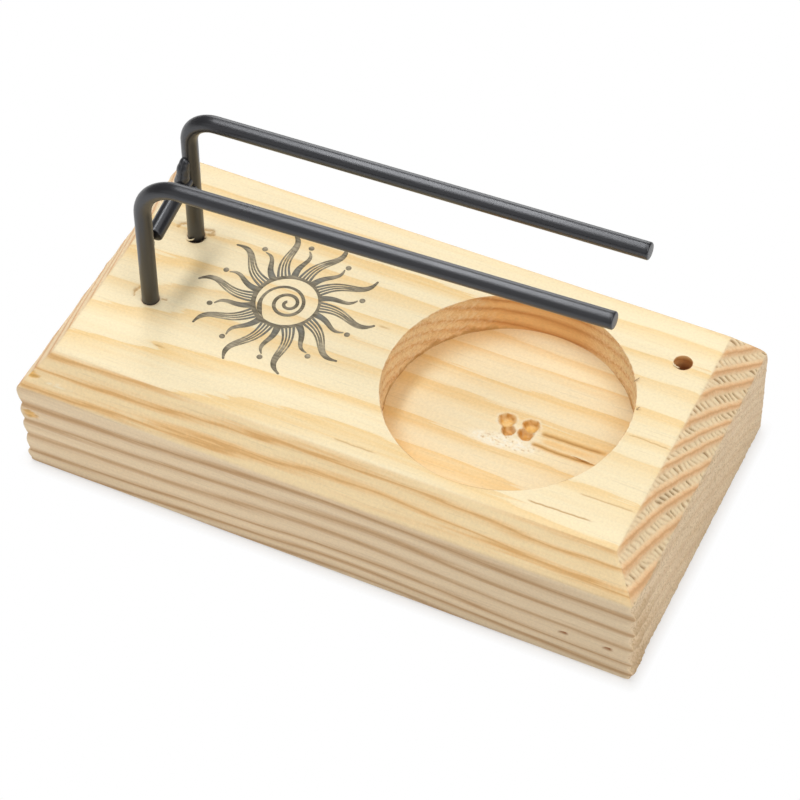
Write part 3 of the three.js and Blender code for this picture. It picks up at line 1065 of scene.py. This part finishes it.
# What lies in an outline is inked, but for what lies in the inner disc alone
outlines = [counter_clockwise(outline) for outline in outlines]
flat_points = [Vector(point) for outline in outlines for point in outline]
flat_faces = []
for outline in outlines:
    start = sum(len(face) for face in flat_faces)
    flat_faces.append(list(range(start, start + len(outline))))
film_points, _, film_faces, _, _, film_sources = delaunay_2d_cdt(flat_points, [], flat_faces, 1, 1e-4)
INNER_DISC = 1
inked = []
for face, sources in zip(film_faces, film_sources):
    bare = INNER_DISC in sources and not set(sources) - {0, INNER_DISC}
    if sources and not bare:
        inked.append(list(face))
used = sorted({k for face in inked for k in face})
number_of = {k: i for i, k in enumerate(used)}
film = np.array([film_points[k][:] for k in used])
upper = np.column_stack([film, np.full(len(film), ink_top)])
lower = np.column_stack([film, np.full(len(film), ink_bottom)])
count = len(film)
sun_faces = []
rims = {}
for face in inked:
    face = [number_of[k] for k in face]
    sun_faces.append(face)
    sun_faces.append([k + count for k in reversed(face)])
    for a, b in zip(face, face[1:] + face[:1]):
        if (b, a) in rims:
            del rims[(b, a)]
        else:
            rims[(a, b)] = True
sun_faces += [[a, a + count, b + count, b] for a, b in rims]

ink = Finish("sun_ink")
along_grain = ink.noise((0.06, 1, 1), 1500, 3, 0.65)
blotches = ink.noise((1, 1, 1), 420, 2, 0.5)
streaks = ink.between(along_grain, 0.4, 0.68, 0, 0.55)
faded = ink.math("ADD", streaks, ink.between(blotches, 0.4, 0.7, 0, 0.18))
washed_out = ink.math("MULTIPLY", ink.mark("washed"), ink.between(blotches, 0.3, 0.6, 0.1, 0.4))
faded = ink.math("ADD", faded, washed_out)
inked_wood = ink.mix(faded, colour(0.125, 0.105, 0.066), colour(0.48, 0.41, 0.285))
root_share = ink.math("MULTIPLY", ink.mark("near_disc"), ink.between(blotches, 0.35, 0.65, 0.4, 0.9))
ink.surface(ink.mix(root_share, inked_wood, colour(0.20, 0.20, 0.175)), 0.62, 0.3)
ink.bump(0.3, 0.0001, along_grain)

# The ink is greyer on the roots of the rays, and washed out halfway along them
sun_points = np.concatenate([upper, lower])
sun_print = new_piece("sun_print", sun_points, sun_faces, ink.material, "block")
from_sun = distance_from(sun_place, sun_points)
near_disc = smooth_step(14, 9.5, from_sun) * (from_sun > sun_ring_outer + 0.01)
washed = smooth_step(12, 15, from_sun) * smooth_step(21, 19, from_sun)
set_marks(sun_print, {"near_disc": near_disc, "washed": washed})


# Bent rods
# Two steel rods of 4.2 mm, each bent once into an L and sprayed satin black with the rack. Their feet
# stand in the sockets, the posts lean a little towards the recess, and the arms climb a little.
rod_radius = 2.1
rod_end_chamfer = 0.4
post_height = 40.7
foot_clearance = 0.3
front_bend_radius = 11.7
front_arm_length = 118.5
front_arm_rise = np.radians(2.9)
back_bend_radius = 8.3
back_arm_length = 117.2
back_arm_rise = np.radians(2.35)
rod_sides = 64

paint_specular = 0.88
paint_tint = colour(0.93, 0.95, 1)
satin = Finish("black_satin")
spray = satin.noise((1, 1, 1), 2600, 2, 0.6)
handling = satin.noise((1, 1, 1), 90, 3, 0.6)
handled = satin.between(handling, 0.3, 0.7, 0, 1)
black = satin.mix(handled, colour(0.005, 0.0045, 0.0055), colour(0.009, 0.0085, 0.0105))
satin.surface(black, satin.between(handling, 0.3, 0.7, 0.27, 0.33), paint_specular)
satin.shader.inputs["Specular Tint"].default_value = paint_tint
satin.bump(0.1, 0.00006, spray)


def rod_skin(stations):
    """A straight rod up Z as a skin of rings, from (height, radius) pairs, with a point at each end."""
    turn = 2 * np.pi * np.arange(rod_sides) / rod_sides
    points = []
    faces = []
    for height, radius in stations:
        points += [(radius * np.cos(a), radius * np.sin(a), height) for a in turn]
    for ring in range(len(stations) - 1):
        for k in range(rod_sides):
            here = ring * rod_sides + k
            beside = ring * rod_sides + (k + 1) % rod_sides
            faces.append([here, beside, beside + rod_sides, here + rod_sides])
    last = (len(stations) - 1) * rod_sides
    points += [(0, 0, stations[0][0]), (0, 0, stations[-1][0])]
    for k in range(rod_sides):
        beside = (k + 1) % rod_sides
        faces.append([len(points) - 2, beside, k])
        faces.append([len(points) - 1, last + k, last + beside])
    return np.array(points), faces


def end_stations(height, inward):
    """The rounded edge of a cut end. Inward is 1 at the foot and -1 at the far end."""
    stations = []
    for turn in np.radians(np.linspace(0, 90, 6)):
        radius = rod_radius - rod_end_chamfer * (1 - np.sin(turn))
        stations.append((height + inward * rod_end_chamfer * (1 - np.cos(turn)), radius))
    return stations


def bent_rod(bend_radius, arm_length, arm_rise, y):
    """A rod from its foot up the post, round the bend and along the arm."""
    foot = socket_depth - foot_clearance
    bend_angle = np.pi / 2 - post_lean - arm_rise
    lost_at_corner = bend_radius * np.tan(bend_angle / 2)
    bend_start = foot + post_height / np.cos(post_lean) - lost_at_corner
    bend_end = bend_start + bend_radius * bend_angle
    total = bend_end + arm_length - lost_at_corner
    stations = end_stations(0, 1)
    stations += [(height, rod_radius) for height in np.linspace(1.2, bend_start, 24)]
    stations += [(height, rod_radius) for height in np.linspace(bend_start, bend_end, 30)[1:]]
    stations += [(height, rod_radius) for height in np.linspace(bend_end, total - 1.2, 44)[1:]]
    stations += end_stations(total, -1)[::-1]
    points, faces = rod_skin(stations)
    inward, sideways, along = points.T
    angle = np.clip((along - bend_start) / bend_radius, 0, bend_angle)
    beyond = np.maximum(along - bend_end, 0)
    from_centre = bend_radius - inward
    x = bend_radius - from_centre * np.cos(angle) + beyond * np.sin(angle)
    z = np.minimum(along, bend_start) + from_centre * np.sin(angle) + beyond * np.cos(angle) - foot
    lean_x = x * np.cos(post_lean) + z * np.sin(post_lean) + post_x
    lean_z = z * np.cos(post_lean) - x * np.sin(post_lean) + block_height
    return np.stack([lean_x, sideways + y, lean_z], axis=1), faces


for name, bend_radius, arm_length, arm_rise, y in [
    ("front_rod", front_bend_radius, front_arm_length, front_arm_rise, front_post_y),
    ("back_rod", back_bend_radius, back_arm_length, back_arm_rise, back_post_y),
]:
    points, faces = bent_rod(bend_radius, arm_length, arm_rise, y)
    rod = new_piece(name + "_sprayed", points, faces, satin.material, "rack")
    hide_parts(name)


# Crossbar and its welds
# A short length of the same rod, welded between the posts, with lumps of weld metal at its ends. It is a
# little short, so weld metal fills the gap at the front. It climbs to the back. All was sprayed together.
crossbar_front_height = 17.4
crossbar_back_height = 20.9
crossbar_back_setback = 0.9
crossbar_front_cut = 4.4
crossbar_back_cut = 1.2
weld_run = 0.7


def on_post(y, height):
    """The middle of a post at a height above the wood."""
    return np.array([post_x + np.tan(post_lean) * height, y, block_height + height])


bar_front = on_post(front_post_y, crossbar_front_height)
bar_back = on_post(back_post_y, crossbar_back_height) - (crossbar_back_setback, 0, 0)
bar_way = Vector(bar_back - bar_front)
bar_end = bar_way.length - crossbar_back_cut
stations = end_stations(crossbar_front_cut, 1)
stations += [(height, rod_radius) for height in np.linspace(crossbar_front_cut + 1, bar_end - 1, 12)]
stations += end_stations(bar_end, -1)[::-1]
points, faces = rod_skin(stations)
turn_to_bar = np.array(Vector((0, 0, 1)).rotation_difference(bar_way).to_matrix())
points = points @ turn_to_bar.T + bar_front
crossbar = new_piece("crossbar_sprayed", points, faces, satin.material, "rack")
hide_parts("crossbar")

welded = Finish("black_satin_over_weld")
weld_spray = welded.noise((1, 1, 1), 1400, 3, 0.6)
sprayed = welded.between(weld_spray, 0.3, 0.7, 0, 1)
black = welded.mix(sprayed, colour(0.009, 0.0088, 0.0105), colour(0.018, 0.0175, 0.02))
welded.surface(black, 0.33, paint_specular)
welded.shader.inputs["Specular Tint"].default_value = paint_tint
welded.bump(0.3, 0.0002, weld_spray)


def weld_bead(y, end_height, lobes, seed):
    """Lobes of metal run together, each with its turn about the post, its lift, how far outside the
    rod its middle lies, and its radius."""
    centres = []
    radii = []
    for turn, lift, outside_by, radius in lobes:
        away = np.radians(turn)
        reach = rod_radius + outside_by
        centres.append(on_post(y, end_height + lift) + (reach * np.cos(away), reach * np.sin(away), 0))
        radii.append(radius)
    middle = np.mean(centres, axis=0)
    ball = bmesh.new()
    bmesh.ops.create_icosphere(ball, subdivisions=5, radius=1)
    way = np.array([vertex.co for vertex in ball.verts])
    faces = [[vertex.index for vertex in face.verts] for face in ball.faces]
    ball.free()
    reach = np.full(len(way), 8.0)
    for _ in range(40):
        here = middle + way * reach[:, None]
        depth = np.zeros(len(way))
        for centre, radius in zip(centres, radii):
            depth += np.exp((radius - np.linalg.norm(here - centre, axis=1)) / weld_run)
        reach += weld_run * np.log(depth)
    lumps = 0.025 * wood_noise(way * 3, 1, seed) + 0.015 * wood_noise(way * 3, 0.4, seed + 1)
    return middle + way * (reach * (1 + lumps))[:, None], faces


weld_lobes = {
    "front_outer_weld": [(150, 3.0, -0.2, 1.15), (115, 1.9, 0.9, 1.3)],
    "front_inner_weld": [(108, -1.2, 1.1, 1.4)],
    "back_outer_weld": [
        (248, 0.4, 1.3, 1.5),
        (260, 2.2, 1.1, 1.4),
        (255, 4.4, 0.6, 1.4),
        (258, 6.4, -0.1, 1.1),
    ],
    "back_inner_weld": [(290, -2.6, 0.2, 1.5)],
}
for seed, (name, lobes) in enumerate(weld_lobes.items(), 60):
    if name.startswith("front"):
        points, faces = weld_bead(front_post_y, crossbar_front_height, lobes, seed)
    else:
        points, faces = weld_bead(back_post_y, crossbar_back_height, lobes, seed)
    weld = new_piece(name + "_sprayed", points, faces, welded.material, "rack")
    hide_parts(name)


# Floor and light
# A white table under a soft sky. A long narrow lamp overhead and a low one behind draw the rods'
# highlights, a broad one above and one at the right light the wood, and weak ones fill in from the left.
# The glow keeps the table white, but for the shadow close to the block.
half_floor = 3.0
floor_mesh = bpy.data.meshes.new("table")
floor_corners = [(half_floor * x, half_floor * y, 0) for x, y in [(-1, -1), (1, -1), (1, 1), (-1, 1)]]
floor_mesh.from_pydata(floor_corners, [], [(0, 1, 2, 3)])
table = bpy.data.objects.new("table", floor_mesh)
table.location.z = -0.0002
scene.collection.objects.link(table)

paper = Finish("white_paper")
paper.surface(colour(0.9, 0.9, 0.9), 0.9, 0.0)
light_path = paper.node("ShaderNodeLightPath")
glow = paper.node("ShaderNodeEmission", Color=colour(1, 1, 1), Strength=1.0)
floor_place = paper.node("ShaderNodeTexCoord").outputs["Object"]
floor_place = paper.node("ShaderNodeVectorMath", {"operation": "ABSOLUTE"}, in_0=floor_place)
past_block = paper.node(
    "ShaderNodeVectorMath",
    {"operation": "SUBTRACT"},
    in_0=floor_place, in_1=(half_length * MM, half_width * MM, 0),
)
past_block = paper.node("ShaderNodeVectorMath", {"operation": "MAXIMUM"}, in_0=past_block, in_1=(0, 0, 0))
off_block = paper.node("ShaderNodeVectorMath", {"operation": "LENGTH"}, in_0=past_block).outputs["Value"]
unshaded = paper.between(off_block, 0, 0.003, 0.5, 1)
seen = paper.math("MULTIPLY", light_path.outputs["Is Camera Ray"], unshaded)
output = paper.tree.nodes["Material Output"]
blend = paper.node("ShaderNodeMixShader", in_0=seen, in_1=paper.shader.outputs[0], in_2=glow.outputs[0])
paper.feed(output.inputs["Surface"], blend.outputs[0])
floor_mesh.materials.append(paper.material)

sky = bpy.data.worlds.new("sky")
scene.world = sky
sky.use_nodes = True
sky_tree = sky.node_tree
sky_light = sky_tree.nodes["Background"]
sky_light.inputs["Color"].default_value = colour(1, 1, 1)
sky_path = sky_tree.nodes.new("ShaderNodeLightPath")
seen_white = sky_tree.nodes.new("ShaderNodeMath")
seen_white.operation = "MAXIMUM"
sky_tree.links.new(sky_path.outputs["Is Camera Ray"], seen_white.inputs[0])
sky_tree.links.new(sky_path.outputs["Is Transmission Ray"], seen_white.inputs[1])
sky_light_level = 0.26
sky_strength = sky_tree.nodes.new("ShaderNodeMapRange")
sky_strength.inputs["To Min"].default_value = sky_light_level
sky_strength.inputs["To Max"].default_value = 1.0
sky_tree.links.new(seen_white.outputs[0], sky_strength.inputs["Value"])
sky_tree.links.new(sky_strength.outputs[0], sky_light.inputs["Strength"])


def soft_lamp(name, place, target, size, watts):
    """An area lamp whose width lies along X and whose depth lies along Y."""
    lamp = bpy.data.objects.new(name, bpy.data.lights.new(name, "AREA"))
    lamp.data.shape = "RECTANGLE"
    lamp.data.size, lamp.data.size_y = size
    lamp.data.energy = watts
    lamp.location = place
    toward = (Vector(target) - Vector(place)).normalized()
    lamp.rotation_euler = (np.arcsin(toward.y), np.arctan2(-toward.x, -toward.z), 0)
    scene.collection.objects.link(lamp)


soft_lamp("lamp_over_rods", (-0.42, 0.2, 1.12), (0, 0, 0.03), (0.2, 1.05), 5.8)
soft_lamp("lamp_above", (0.25, 0.1, 1.2), (0, 0, 0.03), (0.9, 0.9), 3.2)
soft_lamp("lamp_beside", (-0.42, -0.5, 1.2), (0, 0, 0.03), (0.25, 0.5), 1.0)
soft_lamp("lamp_behind", (-0.5, 1.23, 0.48), (0, 0, 0.05), (0.6, 0.8), 3.8)
soft_lamp("lamp_in_front", (-0.45, -1.05, 0.6), (0, 0, 0.02), (1.2, 0.9), 1.3)
soft_lamp("lamp_at_right", (0.75, -0.35, 0.9), (0, 0, 0.02), (1.0, 0.9), 4.9)

scene.view_settings.view_transform = "Standard"
